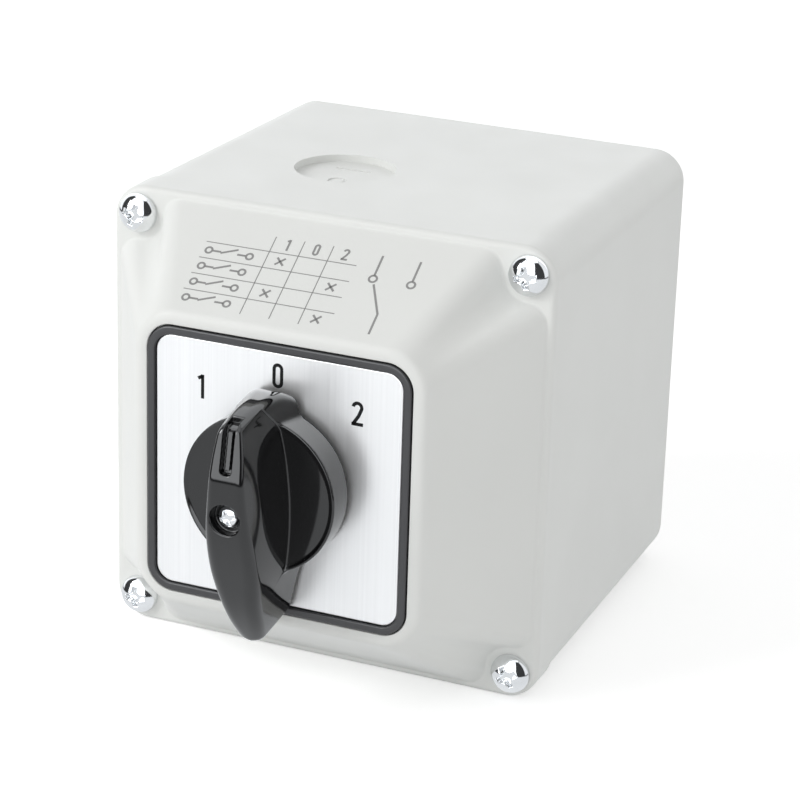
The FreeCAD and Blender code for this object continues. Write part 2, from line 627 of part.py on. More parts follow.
# ================================================================ shaft, cams
def shaft():
    """Square shaft with a round front journal, a round rear journal and a threaded front end."""
    h = SQUARE / 2
    front_journal_y = INDEX_FRONT_Y + 2.8
    square_rear = box(-h, h, front_journal_y, END_Y - 0.2, -h, h)
    journal = cyl_y(JOURNAL_R, KNOB_BACK_Y + 0.3, front_journal_y)
    square_front = box(-h, h, SHAFT_FRONT_Y, KNOB_BACK_Y + 0.3, -h, h)
    rear = cyl_y(h, END_Y - 0.2, SHAFT_REAR_Y)
    body = fuse_all([square_front, journal, square_rear, rear])
    groove = ring_y(h + 1, h - 0.6, CLIP_Y - 0.05, CLIP_Y + CLIP_T + 0.05)
    return body.cut([cyl_y(1.52, SHAFT_FRONT_Y - 1, SHAFT_FRONT_Y + 11), groove])


def cam_radius(angle):
    """Spiral flanks under both followers, so that each moves in proportion to the knob's angle."""
    rate = LIFT / math.radians(TURN)
    deg = math.degrees(angle) % 360
    if 45 <= deg <= 135:
        return CAM_R0 + rate * math.radians(deg - 90)
    if 225 <= deg <= 315:
        return CAM_R0 - rate * math.radians(deg - 270)
    return CAM_R0 + LIFT if 135 < deg < 225 else CAM_R0 - LIFT


def layer_y(layer):
    return STACK_Y + layer * LAYER_T


def cams():
    made = []
    for layer in range(LAYERS):
        y0 = layer_y(layer) + 0.3
        y1 = y0 + 9.4
        hub_end = layer_y(layer + 1) - 0.1
        body = polar_prism(cam_radius, y0, y1, count=144)
        made.append(fuse_all([body, cyl_y(5.3, y1 - 0.5, hub_end)]).cut(square_hole(y0 - 1, hub_end + 1)))
    return made


def shaft_clip():
    """Open retaining ring in the groove behind the end plate."""
    ring = ring_y(5.6, SQUARE / 2 - 0.55, CLIP_Y, CLIP_Y + CLIP_T)
    return ring.cut(box(-1.6, 1.6, CLIP_Y - 1, CLIP_Y + 2, -8, 0))


# ================================================================ contact chambers
NEAR_Z = 8.9                # inner edge of the contact space
FAR_Z = 21.0                # wall the contact springs push on
BAR_HALF_X = 9.6
TIP_X = 7.6


def contact_chamber(layer):
    """Moulded chamber, open to the front: cam bore, follower channels, strip and terminal pockets."""
    y0 = layer_y(layer)
    depth = LAYER_T - LAYER_FLOOR
    block = prism(rounded_square(BODY_HALF, 2.0, y0), LAYER_T)
    cuts = [cyl_y(10.2, y0 - 1, y0 + depth), cyl_y(5.6, y0 - 1, y0 + LAYER_T + 1)]
    cuts += [cyl_y(TIE_R + 0.1, y0 - 1, y0 + LAYER_T + 1, s * TIE_X, 0) for s in (-1, 1)]
    yc = y0 + depth / 2
    for sz in (-1, 1):
        z0, z1 = sorted((sz * 6.0, sz * FAR_Z))
        cuts.append(box(-4.6, 4.6, y0 - 1, y0 + depth, z0, z1))
        z0, z1 = sorted((sz * NEAR_Z, sz * (FAR_Z - 3.5)))
        cuts.append(box(-BAR_HALF_X - 0.5, BAR_HALF_X + 0.5, y0 - 1, y0 + depth, z0, z1))
        for sx in (-1, 1):
            x0, x1 = sorted((sx * 9.0, sx * 19.3))
            z0, z1 = sorted((sz * NEAR_Z, sz * (NEAR_Z + 0.1 + STRIP_T + 0.1)))
            cuts.append(box(x0, x1, y0 - 1, yc + STRIP_W / 2 + 0.1, z0, z1))
            x0, x1 = sorted((sx * 17.9, sx * (BODY_HALF + 1)))
            z0, z1 = sorted((sz * NEAR_Z, sz * 18.6))
            cuts.append(box(x0, x1, y0 - 1, yc + 4.4, z0, z1))
            cuts.append(cyl(1.6, (sx * 12.6, yc, sz * TERMINAL_Z), (sx * 19, yc, sz * TERMINAL_Z)))
    return block.cut(cuts).removeSplitter()


def fixed_contact(layer, sx, sz):
    """Contact strip: silver tip at the inner end, bent up at the outer end for the terminal screw."""
    yc = layer_y(layer) + (LAYER_T - LAYER_FLOOR) / 2
    top = BRIDGE_Z - TIP_T - LIFT - CLOSED_GAP
    strip_top = top - TIP_T
    strip_low = strip_top - STRIP_T
    y0, y1 = yc - STRIP_W / 2, yc + STRIP_W / 2

    def side_box(xa, xb, za, zb):
        x0, x1 = sorted((sx * xa, sx * xb))
        z0, z1 = sorted((sz * za, sz * zb))
        return box(x0, x1, y0, y1, z0, z1)
    tip = cyl(1.7, (sx * TIP_X, yc, sz * strip_top), (sx * TIP_X, yc, sz * top))
    body = fuse_all([side_box(5.9, 19.2, strip_low, strip_top), side_box(18.0, 19.2, strip_low, 17.6), tip])
    return body.cut(cyl(1.55, (sx * 17, yc, sz * TERMINAL_Z), (sx * 20, yc, sz * TERMINAL_Z)))


def terminal_screw(layer, sx, sz):
    yc = layer_y(layer) + (LAYER_T - LAYER_FLOOR) / 2
    z = sz * TERMINAL_Z
    shank = cyl(1.5, (sx * 13.0, yc, z), (sx * 20.5, yc, z))
    head = cyl(2.9, (sx * 20.45, yc, z), (sx * 22.8, yc, z))
    x0, x1 = sorted((sx * 21.8, sx * 23.0))
    slot = box(x0, x1, yc - 3.0, yc + 3.0, z - 0.4, z + 0.4)
    return fuse_all([shank, head]).cut(slot)


def terminal_clamp(layer, sx, sz):
    """Square pressure plate under the terminal screw's head."""
    yc = layer_y(layer) + (LAYER_T - LAYER_FLOOR) / 2
    x0, x1 = sorted((sx * 19.3, sx * 20.4))
    z = sz * TERMINAL_Z
    plate = box(x0, x1, yc - 3.4, yc + 3.4, z - 3.4, z + 3.4)
    return plate.cut(cyl(1.6, (sx * 19, yc, z), (sx * 21, yc, z)))


def carrier(layer, sz):
    """Plastic follower: a round nose on the cam, a guided stem, and a seat for the bridge."""
    yc = layer_y(layer) + (LAYER_T - LAYER_FLOOR) / 2
    nose_r = 2.5
    tip = CAM_R0 + CAM_GAP
    z0, z1 = sorted((sz * (tip + nose_r), sz * (BRIDGE_Z - 0.05)))
    stem = box(-4.4, 4.4, yc - 4.0, yc + 4.0, z0, z1)
    nose = cyl(nose_r, (0, yc - 4.0, sz * (tip + nose_r)), (0, yc + 4.0, sz * (tip + nose_r)))
    return fuse_all([stem, nose])


def bridge(layer, sz):
    """Moving contact bar with a silver tip under each end and a spring pip on its back."""
    yc = layer_y(layer) + (LAYER_T - LAYER_FLOOR) / 2
    z0, z1 = sorted((sz * BRIDGE_Z, sz * (BRIDGE_Z + BRIDGE_T)))
    bar = box(-BAR_HALF_X, BAR_HALF_X, yc - 2.5, yc + 2.5, z0, z1)
    tips = [cyl(1.7, (s * TIP_X, yc, sz * (BRIDGE_Z - TIP_T)), (s * TIP_X, yc, sz * BRIDGE_Z))
            for s in (-1, 1)]
    pip = cyl(1.2, (0, yc, sz * (BRIDGE_Z + BRIDGE_T)), (0, yc, sz * (BRIDGE_Z + BRIDGE_T + 1.2)))
    return fuse_all([bar, pip] + tips)


def contact_springs():
    made = []
    start = BRIDGE_Z + BRIDGE_T + 0.03
    height = FAR_Z - start - 0.03
    for layer in range(LAYERS):
        yc = layer_y(layer) + (LAYER_T - LAYER_FLOOR) / 2
        made += [spring((0, yc, sz * start), (0, 0, sz), 2.0, 0.3, height, 5.5) for sz in (-1, 1)]
    return made


def end_plate():
    """Rear end plate with the shaft's rear bearing and hexagon seats for the tie nuts."""
    plate = prism(rounded_square(BODY_HALF, 2.0, END_Y), END_T)
    bore = cyl_y(SQUARE / 2 + RUNNING_GAP, END_Y - 1, END_Y + END_T + 1)
    ties = [cyl_y(TIE_R + 0.1, END_Y - 1, END_Y + END_T + 1, s * TIE_X, 0) for s in (-1, 1)]
    return plate.cut([bore] + ties)


def tie_bolts():
    """Long studs screwed into the index housing and drawn up with a nut behind the end plate."""
    return [cyl_y(TIE_R, INDEX_FRONT_Y + 8.0, END_Y + END_T + 5.0, s * TIE_X, 0) for s in (-1, 1)]


def tie_nuts():
    made = []
    y0 = END_Y + END_T
    for s in (-1, 1):
        corners = [V(s * TIE_X + NUT_R * math.cos(k * math.pi / 3), y0, NUT_R * math.sin(k * math.pi / 3))
                   for k in range(7)]
        nut = Part.Face(Part.makePolygon(corners)).extrude(V(0, 3.2, 0))
        made.append(nut.cut(cyl_y(TIE_R + 0.02, y0 - 1, y0 + 5, s * TIE_X, 0)))
    return made


# ================================================================ build
def main():
    save("base_box", base_box())
    save("front_cover", front_cover())
    save("cover_gasket", cover_gasket())
    cover_fixings()
    save("escutcheon_frame", escutcheon_frame())
    save("label_plate", label_plate())
    save("plate_gasket", plate_gasket())
    save("panel_screws", four(PANEL_SCREW_POS, lambda x, z: countersunk_screw(x, z, LABEL_BACK_Y + 0.05,
                                                                              3.6, 1.95, 11.0)))

    save("knob", knob())
    save("knob_screw", pan_screw(0, 0, FRAME_Y - SCREW_SEAT, SCREW_HEAD_R, 2.0, 1.5, 12.0))
    save("shaft", shaft())
    save("star_wheel", star_wheel())
    save("stop_disc", stop_disc())
    save("cams", cams())
    save("shaft_clip", shaft_clip())

    save("index_housing", index_housing())
    save("index_base", index_base())
    save("shaft_seal", shaft_seal())
    for side, word in ((1, "upper"), (-1, "lower")):
        save("detent_ball_" + word, detent_ball(side))
        save("detent_plunger_" + word, detent_plunger(side))
    save("detent_springs", detent_springs())

    fixed, screws, clamps = [], [], []
    for layer in range(LAYERS):
        number = str(layer + 1)
        save("contact_chamber_" + number, contact_chamber(layer))
        for sz, word in ((1, "upper"), (-1, "lower")):
            save("carrier_" + word + "_" + number, carrier(layer, sz))
            save("bridge_" + word + "_" + number, bridge(layer, sz))
            for sx in (-1, 1):
                fixed.append(fixed_contact(layer, sx, sz))
                screws.append(terminal_screw(layer, sx, sz))
                clamps.append(terminal_clamp(layer, sx, sz))
    save("fixed_contacts", fixed)
    save("terminal_screws", screws)
    save("terminal_clamps", clamps)
    save("contact_springs", contact_springs())
    save("end_plate", end_plate())
    save("tie_bolts", tie_bolts())
    save("tie_nuts", tie_nuts())


main()
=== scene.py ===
"""Looks of the changeover switch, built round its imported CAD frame. Metres, front facing -Y, +Z up."""

import json
import math

import bmesh
import bpy
import numpy as np
from mathutils import Matrix, Vector


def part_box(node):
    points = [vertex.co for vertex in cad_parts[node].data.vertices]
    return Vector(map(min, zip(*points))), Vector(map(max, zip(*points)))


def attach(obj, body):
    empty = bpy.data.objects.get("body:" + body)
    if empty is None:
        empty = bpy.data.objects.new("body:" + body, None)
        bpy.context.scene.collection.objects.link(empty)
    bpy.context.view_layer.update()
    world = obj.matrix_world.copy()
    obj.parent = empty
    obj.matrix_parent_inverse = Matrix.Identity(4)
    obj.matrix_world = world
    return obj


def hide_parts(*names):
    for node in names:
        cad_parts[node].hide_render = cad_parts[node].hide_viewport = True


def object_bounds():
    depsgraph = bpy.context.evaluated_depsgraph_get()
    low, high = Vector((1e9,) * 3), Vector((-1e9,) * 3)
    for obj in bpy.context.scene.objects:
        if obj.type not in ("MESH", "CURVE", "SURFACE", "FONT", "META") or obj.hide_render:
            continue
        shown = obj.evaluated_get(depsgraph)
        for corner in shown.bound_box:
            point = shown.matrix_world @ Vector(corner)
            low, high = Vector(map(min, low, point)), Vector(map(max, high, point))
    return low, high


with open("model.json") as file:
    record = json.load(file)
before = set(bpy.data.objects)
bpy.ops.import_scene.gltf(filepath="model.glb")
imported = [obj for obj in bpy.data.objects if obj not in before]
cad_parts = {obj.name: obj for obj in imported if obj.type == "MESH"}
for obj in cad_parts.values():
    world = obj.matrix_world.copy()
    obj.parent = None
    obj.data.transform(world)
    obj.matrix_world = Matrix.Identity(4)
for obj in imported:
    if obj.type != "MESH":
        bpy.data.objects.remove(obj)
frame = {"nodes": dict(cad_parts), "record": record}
cad_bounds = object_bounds()

MM = 0.001
SEAL_CLEARANCE = 0.02
PAD_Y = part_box("cover_screw_seals")[0].y / MM - SEAL_CLEARANCE      # front of the cover's rim


# ---------------------------------------------------------------- mesh helpers
def mesh_object(name, points, faces, body, material, normals=None, smooth=True):
    """A new piece from points in metres. Point normals are set when they're given."""
    mesh = bpy.data.meshes.new(name)
    mesh.from_pydata([tuple(p) for p in points], [], [tuple(f) for f in faces])
    mesh.validate()
    mesh.update()
    for polygon in mesh.polygons:
        polygon.use_smooth = smooth
    if normals is not None:
        mesh.normals_split_custom_set_from_vertices([tuple(n) for n in normals])
    piece = bpy.data.objects.new(name, mesh)
    bpy.context.scene.collection.objects.link(piece)
    piece.data.materials.append(material)
    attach(piece, body)
    return piece


def soft_max(a, b, radius):
    """The larger of two fields, rounded over where they meet."""
    blend = np.maximum(radius - np.abs(a - b), 0.0)
    return np.maximum(a, b) + blend * blend / (4 * radius)


def soft_min(a, b, radius):
    return -soft_max(-a, -b, radius)


def smooth_curve(points):
    """Natural cubic curve through (x, y) points, as a function that carries on straight past both ends."""
    xs, ys = (np.array(v, float) for v in zip(*sorted(points)))
    n = len(xs)
    gap = np.diff(xs)
    slope = np.diff(ys) / gap
    system = np.eye(n)
    right = np.zeros(n)
    for i in range(1, n - 1):
        system[i, i - 1:i + 2] = gap[i - 1], 2 * (gap[i - 1] + gap[i]), gap[i]
        right[i] = 6 * (slope[i] - slope[i - 1])
    bend = np.linalg.solve(system, right)

    def at(x):
        i = np.clip(np.searchsorted(xs, x) - 1, 0, n - 2)
        inside = np.clip(x, xs[0], xs[-1])
        a, b = (xs[i + 1] - inside) / gap[i], (inside - xs[i]) / gap[i]
        value = a * ys[i] + b * ys[i + 1] + ((a**3 - a) * bend[i] + (b**3 - b) * bend[i + 1]) * gap[i]**2 / 6
        first = slope[0] - bend[1] * gap[0] / 6
        last = slope[-1] + bend[-2] * gap[-1] / 6
        return value + np.minimum(x - xs[0], 0) * first + np.maximum(x - xs[-1], 0) * last
    return at


def field_mesh(field, low, high, step):
    """Points, faces and normals of field's zero surface: one point per crossed cell, pulled on to it."""
    axes = [np.arange(a, b + step, step) for a, b in zip(low, high)]
    value = field(*np.meshgrid(*axes, indexing="ij"))
    inside = value < 0
    corners = [tuple(c) for c in np.ndindex(2, 2, 2)]
    cells = tuple(n - 1 for n in inside.shape)

    def corner(array, c):
        return array[c[0]:c[0] + cells[0], c[1]:c[1] + cells[1], c[2]:c[2] + cells[2]]
    count = sum(corner(inside, c).astype(np.int8) for c in corners)
    where = np.argwhere((count > 0) & (count < 8))
    number = np.full(cells, -1, np.int64)
    number[tuple(where.T)] = np.arange(len(where))
    total = np.zeros((len(where), 3))
    crossings = np.zeros(len(where))
    for a in corners:
        for axis in range(3):
            if a[axis]:
                continue
            b = tuple(c + (i == axis) for i, c in enumerate(a))
            va, vb = (value[tuple((where + c).T)] for c in (a, b))
            crossed = (va < 0) != (vb < 0)
            share = np.where(crossed, va / np.where(crossed, va - vb, 1), 0)
            point = where + np.array(a) + 0.0
            point[:, axis] += share
            total += point * crossed[:, None]
            crossings += crossed
    points = np.array(low) + step * total / crossings[:, None]

    def gradient(p, h=step * 0.1):
        parts = []
        for axis in range(3):
            offset = np.zeros(3)
            offset[axis] = h
            parts.append((field(*(p + offset).T) - field(*(p - offset).T)) / (2 * h))
        return np.stack(parts, 1)
    start = points.copy()
    for _ in range(4):
        g = gradient(points)
        points -= (field(*points.T) / np.maximum((g * g).sum(1), 1e-6))[:, None] * g
        points = np.clip(points, start - step, start + step)
    g = gradient(points, step * 0.35)
    normals = g / np.linalg.norm(g, axis=1)[:, None]
    faces = []
    for axis in range(3):
        u, v = [a for a in range(3) if a != axis]
        here = tuple(slice(0 if a == axis else 1, cells[a]) for a in range(3))
        there = tuple(slice(1, cells[a] + 1) if a == axis else slice(1, cells[a]) for a in range(3))
        edge = np.argwhere(inside[here] != inside[there]) + [0 if a == axis else 1 for a in range(3)]
        leaving = inside[tuple(edge.T)]
        quad = []
        for du, dv in ((0, 0), (1, 0), (1, 1), (0, 1)):
            cell = edge.copy()
            cell[:, u] -= du
            cell[:, v] -= dv
            quad.append(number[tuple(cell.T)])
        quad = np.stack(quad, 1)
        flip = leaving if axis == 1 else ~leaving
        quad[flip] = quad[flip][:, ::-1]
        faces.append(quad)
    return points, np.concatenate(faces), normals


# ---------------------------------------------------------------- materials
def new_material(name):
    material = bpy.data.materials.new(name)
    material.use_nodes = True
    tree = material.node_tree
    return material, tree, tree.nodes["Principled BSDF"]


def add(tree, kind, **values):
    """A node with its plain settings and its input defaults given by name."""
    node = tree.nodes.new(kind)
    for key, value in values.items():
        if hasattr(node, key):
            setattr(node, key, value)
        else:
            node.inputs[key.replace("_", " ")].default_value = value
    return node


def object_noise(tree, scale, detail=3.0, stretch=(1, 1, 1)):
    """Noise in object space, in cycles per metre, stretched along the axes."""
    coordinates = add(tree, "ShaderNodeTexCoord")
    mapping = add(tree, "ShaderNodeMapping")
    mapping.inputs["Scale"].default_value = stretch
    noise = add(tree, "ShaderNodeTexNoise", Scale=scale, Detail=detail)
    tree.links.new(coordinates.outputs["Object"], mapping.inputs["Vector"])
    tree.links.new(mapping.outputs["Vector"], noise.inputs["Vector"])
    return noise.outputs["Fac"]


def ramp(tree, value, stops):
    """Colour ramp over a value. stops holds (position, grey or colour)."""
    node = add(tree, "ShaderNodeValToRGB")
    elements = node.color_ramp.elements
    while len(elements) < len(stops):
        elements.new(0.5)
    for element, (position, colour) in zip(elements, stops):
        element.position = position
        element.color = (*colour, 1) if hasattr(colour, "__len__") else (colour, colour, colour, 1)
    tree.links.new(value, node.inputs["Fac"])
    return node.outputs["Color"]


def bump(tree, shader, height, strength, distance):
    node = add(tree, "ShaderNodeBump", Strength=strength, Distance=distance)
    tree.links.new(height, node.inputs["Height"])
    tree.links.new(node.outputs["Normal"], shader.inputs["Normal"])
    return node


def moulded_plastic(name, colour, roughness, grain, variation=0.02, specular=0.5):
    """Moulded plastic: fine spark-eroded grain, faint flow variation in colour and gloss."""
    flow_scale, gloss_scale, grain_scale = 18, 140, 2600
    material, tree, shader = new_material(name)
    cloud = object_noise(tree, flow_scale, 2)
    low = tuple(c * (1 - variation) for c in colour)
    high = tuple(min(1.0, c * (1 + variation)) for c in colour)
    tree.links.new(ramp(tree, cloud, [(0.3, low), (0.7, high)]), shader.inputs["Base Color"])
    gloss = object_noise(tree, gloss_scale, 4)
    tree.links.new(ramp(tree, gloss, [(0.3, roughness * 0.92), (0.7, min(1, roughness * 1.1))]),
                   shader.inputs["Roughness"])
    bump(tree, shader, object_noise(tree, grain_scale, 3), grain, 0.00004)
    shader.inputs["Specular IOR Level"].default_value = specular
    return material


def plain_metal(name, colour, roughness):
    """Machined or plated metal with fine scratches and patchy gloss."""
    patch_scale, scratch_scale = 260, 1800
    material, tree, shader = new_material(name)
    shader.inputs["Metallic"].default_value = 1.0
    cloud = object_noise(tree, patch_scale, 4)
    low = tuple(c * 0.88 for c in colour)
    tree.links.new(ramp(tree, cloud, [(0.3, low), (0.7, colour)]), shader.inputs["Base Color"])
    tree.links.new(ramp(tree, cloud, [(0.25, roughness * 0.75), (0.75, roughness * 1.3)]),
                   shader.inputs["Roughness"])
    bump(tree, shader, object_noise(tree, scratch_scale, 3), 0.12, 0.00003)
    return material


def brushed_metal(name, level, roughness):
    """Pale sheet brushed upright: hair-fine streaks, much longer than they are wide."""
    streak_scale, streak_stretch = 2400, (1, 1, 0.003)
    material, tree, shader = new_material(name)
    shader.inputs["Metallic"].default_value = 0.8
    streaks = object_noise(tree, streak_scale, 2, streak_stretch)
    tree.links.new(ramp(tree, streaks, [(0.3, level * 0.96), (0.7, level)]), shader.inputs["Base Color"])
    tree.links.new(ramp(tree, streaks, [(0.3, roughness * 0.93), (0.7, roughness * 1.07)]),
                   shader.inputs["Roughness"])
    bump(tree, shader, streaks, 0.015, 0.00002)
    return material


GREY_PLASTIC = moulded_plastic("enclosure_grey", (0.785, 0.795, 0.775), 0.42, 0.25, specular=0.22)
BLACK_GLOSS = moulded_plastic("knob_black", (0.006, 0.006, 0.0065), 0.07, 0.03, specular=0.74)
BLACK_SATIN = moulded_plastic("frame_black", (0.04, 0.04, 0.043), 0.3, 0.2, specular=0.7)
INK = moulded_plastic("black_ink", (0.01, 0.01, 0.01), 0.5, 0.1, specular=0.15)
GREY_INK = moulded_plastic("grey_ink", (0.27, 0.27, 0.265), 0.6, 0.1, 0.08)
CHROME = plain_metal("chrome_plate", (0.86, 0.87, 0.88), 0.09)
ZINC = plain_metal("zinc_plate", (0.78, 0.79, 0.80), 0.22)
BRASS = plain_metal("brass", (0.75, 0.55, 0.25), 0.3)
RUBBER = moulded_plastic("seal_rubber", (0.03, 0.03, 0.03), 0.75, 0.5)
SWITCH_BODY = moulded_plastic("switch_body", (0.05, 0.05, 0.052), 0.5, 0.4)
CAM_PLASTIC = moulded_plastic("cam_plastic", (0.6, 0.57, 0.47), 0.45, 0.3)
LABEL_METAL = brushed_metal("label_brushed", 0.97, 0.32)

SLOT_MATERIALS = {
    "enclosure_plastic": GREY_PLASTIC,
    "black_plastic": BLACK_SATIN,
    "label_aluminium": LABEL_METAL,
    "plated_steel": ZINC,
    "seal_rubber": RUBBER,
    "insert_brass": BRASS,
    "contact_brass": BRASS,
    "switch_body_plastic": SWITCH_BODY,
    "cam_plastic": CAM_PLASTIC,
}


def dress_cad_nodes():
    """Gives every carried-over CAD node the material of its record slot."""
    for part in frame["record"]["subparts"]:
        node = frame["nodes"][part["node"]]
        node.data.materials.clear()
        node.data.materials.append(SLOT_MATERIALS[part["material_slot"]])


# ---------------------------------------------------------------- knob
FACE_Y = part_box("escutcheon_frame")[0].y / MM

CREST = smooth_curve([(22, 22.5), (20, 22.95), (13, 24.3), (9.4, 25.1)])
BROW = smooth_curve([(9.4, 25.1), (5, 25.25), (0, 25.1), (-3.5, 24.6), (-10, 23.0), (-16.8, 20.8),
                     (-23.8, 18.1), (-34.4, 11.4), (-37, 9.4)])
TOP_END = smooth_curve([(0, 20.9), (3, 22.3), (8, 22.9), (15, 22.3), (20, 21.3), (26, 20.0)])
FRONT_WIDTH = smooth_curve([(23, 2.2), (20, 2.6), (9.2, 4.1), (2.6, 4.65), (-3.5, 5.1), (-10, 5.2),
                            (-16.8, 4.95), (-23.8, 4.1), (-33, 2.2), (-37, 0.5)])
REAR_WIDTH = smooth_curve([(23, 4.6), (17, 6.4), (8, 9.4), (-4, 9.8), (-14, 8.6), (-20, 6.6), (-29.5, 4.4),
                           (-36, 2.4)])
DISC_R = 17.9
DISC_TOP = 8.8
KNOB_BACK = 0.9                 # clearance over the escutcheon
FULL_WIDTH_H = 24               # height where the grip has its front width
HOLLOW_R = 17.4
HOLLOW_RIM_R = 17.2             # where the hollow's edge starts to flare
HOLLOW_RIM_H = 8.5
TAIL_Z = -30.5                  # end of the tail at the escutcheon
TAIL_LEAN = 0.38                # how far the tail's end runs out, per mm of height
WELL_R = 3.6
WELL_FLOOR = 21.9
GROOVE_HALF = 1.35
GROOVE_START_Z = 10.3
GROOVE_DEPTH = 2.0
GROOVE_END_FLOOR = 18.6
RIB_HALF = 0.55
RIB_BELOW = 0.9                 # depth of the rib's top under the crest
RIB_Z = (11.2, 19.4)


def hollow_foot(z):
    """Half width of the grip between the finger hollows, at their floor."""
    return 7.35 - 0.0048 * (z + 6) ** 2


def grip_field(x, h, z):
    """The lever across the disc: flanks that narrow towards a creased front, and two ends.

    Factors a little under 1 keep the fields of slanting sides close to true distances.
    """
    side = np.abs(x)
    rise = np.clip(h / FULL_WIDTH_H, 0, 1.1)
    width = REAR_WIDTH(z) + (FRONT_WIDTH(z) - REAR_WIDTH(z)) * rise
    flank = (side - width) * 0.93
    front = soft_max((h - CREST(z)) * 0.98, (h - BROW(z)) * 0.96, 0.25)
    top_end = z - TOP_END(h)
    heel = ((TAIL_Z - TAIL_LEAN * h) - z) * 0.93
    ends = soft_max(top_end, heel, 0.5)
    edge = np.clip(1.7 - 0.06 * z, 0.9, 2.8)
    grip = soft_max(soft_max(flank, front, edge), ends, 2.4)
    return np.maximum(grip, KNOB_BACK - h)


def hollow_field(x, h, z):
    """Finger hollows in the disc, one on each side of the grip."""
    radius = np.hypot(x, z)
    wall = hollow_foot(z) - 0.085 * (h - 7.5) - np.abs(x)
    floor = 8.55 - 0.75 * (1 - (radius / HOLLOW_R) ** 2)
    scoop = soft_max(wall, floor - h, 0.4)
    return soft_max(scoop, radius - HOLLOW_RIM_R - np.maximum(h - HOLLOW_RIM_H, 0), 0.4)


def groove_field(x, h, z):
    """Pointer groove along the crest and over the pointer end, with a rib standing in it."""
    side = np.abs(x)
    below = CREST(z) - h
    groove = soft_max(side - GROOVE_HALF, GROOVE_START_Z - z, 1.2)
    behind_end = np.maximum(TOP_END(h) - 1.3 - z, GROOVE_END_FLOOR - h)
    groove = np.maximum(groove, np.minimum(below - GROOVE_DEPTH, behind_end))
    rib_ends = np.maximum(RIB_Z[0] - z, z - RIB_Z[1])
    rib = np.maximum(np.maximum(side - RIB_HALF, RIB_BELOW - below), rib_ends)
    return soft_max(groove, -rib, 0.2)


def knob_field(x, h, z):
    """Signed distance in mm to the knob. h is the height over the escutcheon, z runs to the pointer."""
    radius = np.hypot(x, z)
    disc = soft_max(radius - (DISC_R + 0.035 * h), np.maximum(h - DISC_TOP, KNOB_BACK - h), 0.5)
    body = soft_min(disc, grip_field(x, h, z), 0.8)
    body = soft_max(body, -hollow_field(x, h, z), 0.5)
    well = soft_max(radius - WELL_R, WELL_FLOOR - h, 0.2)
    body = soft_max(body, -well, 0.5)
    return soft_max(body, -groove_field(x, h, z), 0.3)


def knob():
    step = 0.25
    low, high = (-19.5, 0, -38), (19.5, 27, 25)
    points, faces, normals = field_mesh(knob_field, low, high, step)
    place = np.stack([points[:, 0], FACE_Y - points[:, 1], points[:, 2]], 1) * MM
    turn = np.stack([normals[:, 0], -normals[:, 1], normals[:, 2]], 1)
    piece = mesh_object("knob_lever", place, faces[:, ::-1], "rotor", BLACK_GLOSS, turn)
    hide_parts("knob")


# ---------------------------------------------------------------- screws
def screw_field(head_r, head_h, wing, shank_r, length):
    """Signed distance to a pan-head cross-recess screw. h runs outwards from the seat."""
    edge_h = head_h * 0.28
    dome_r = (head_r**2 + (head_h - edge_h) ** 2) / (2 * (head_h - edge_h))

    def field(u, h, v):
        r = np.hypot(u, v)
        dome = np.sqrt(r * r + (h - head_h + dome_r) ** 2) - dome_r
        head = soft_max(soft_max(dome, r - head_r, 0.12 * head_r), -h, 0.05 * head_r)
        shank = np.maximum(np.maximum(r - shank_r, h - 0.5 * head_h), -length - h)
        depth = head_h - h
        reach, half = 2.15 * wing - 0.55 * depth, 0.5 * wing - 0.09 * depth
        across = np.maximum(np.abs(u) - reach, np.abs(v) - half)
        along = np.maximum(np.abs(v) - reach, np.abs(u) - half)
        centre = r - (1.05 * wing - 0.25 * depth)
        cross = soft_min(soft_min(across, along, 0.5 * wing), centre, 0.35 * wing)
        cross = soft_max(cross, depth - 0.72 * head_h, 0.2 * wing)
        return np.minimum(soft_max(head, -cross, 0.06 * head_r), shank)
    return field


def screws(name, body, node, field, size, length, places, seat_y, material, step):
    """One mesh, placed once for each (x, z, turn in degrees), its seat at seat_y."""
    reach, height = size
    points, faces, normals = field_mesh(field, (-reach, -length - 1, -reach), (reach, height, reach), step)
    all_points, all_faces, all_normals = [], [], []
    for x, z, turn in places:
        c, s = math.cos(math.radians(turn)), math.sin(math.radians(turn))

        def placed(p, c=c, s=s):
            return np.stack([p[:, 0] * c - p[:, 2] * s, -p[:, 1], p[:, 0] * s + p[:, 2] * c], 1)
        all_faces.append(faces[:, ::-1] + len(points) * len(all_points))
        all_points.append(placed(points) + (x, seat_y, z))
        all_normals.append(placed(normals))
    piece = mesh_object(name, np.concatenate(all_points) * MM, np.concatenate(all_faces), body,
                        material, np.concatenate(all_normals))
    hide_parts(node)


COVER_SCREW_TURNS = {(-1, 1): -20, (1, 1): 8, (1, -1): 30, (-1, -1): 3}
COVER_HEAD_R = 4.7
KNOB_HEAD_R = 2.8


def cover_screws():
    low, high = (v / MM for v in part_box("cover_screws"))
    centre = (high.x - low.x) / 2 - COVER_HEAD_R
    places = [(sx * centre, sz * centre, turn) for (sx, sz), turn in COVER_SCREW_TURNS.items()]
    field = screw_field(COVER_HEAD_R, 3.6, 1.35, 2.5, 4)
    screws("cover_screw_heads", "enclosure", "cover_screws", field, (5.2, 4.2), 3, places, PAD_Y, CHROME,
           0.14)


def knob_screw():
    seat_y = FACE_Y - WELL_FLOOR
    field = screw_field(KNOB_HEAD_R, 2.0, 0.95, 1.5, 3)
    screws("knob_screw_head", "rotor", "knob_screw", field, (3.1, 2.6), 2, [(0, 0, 20)], seat_y, CHROME,
           0.09)


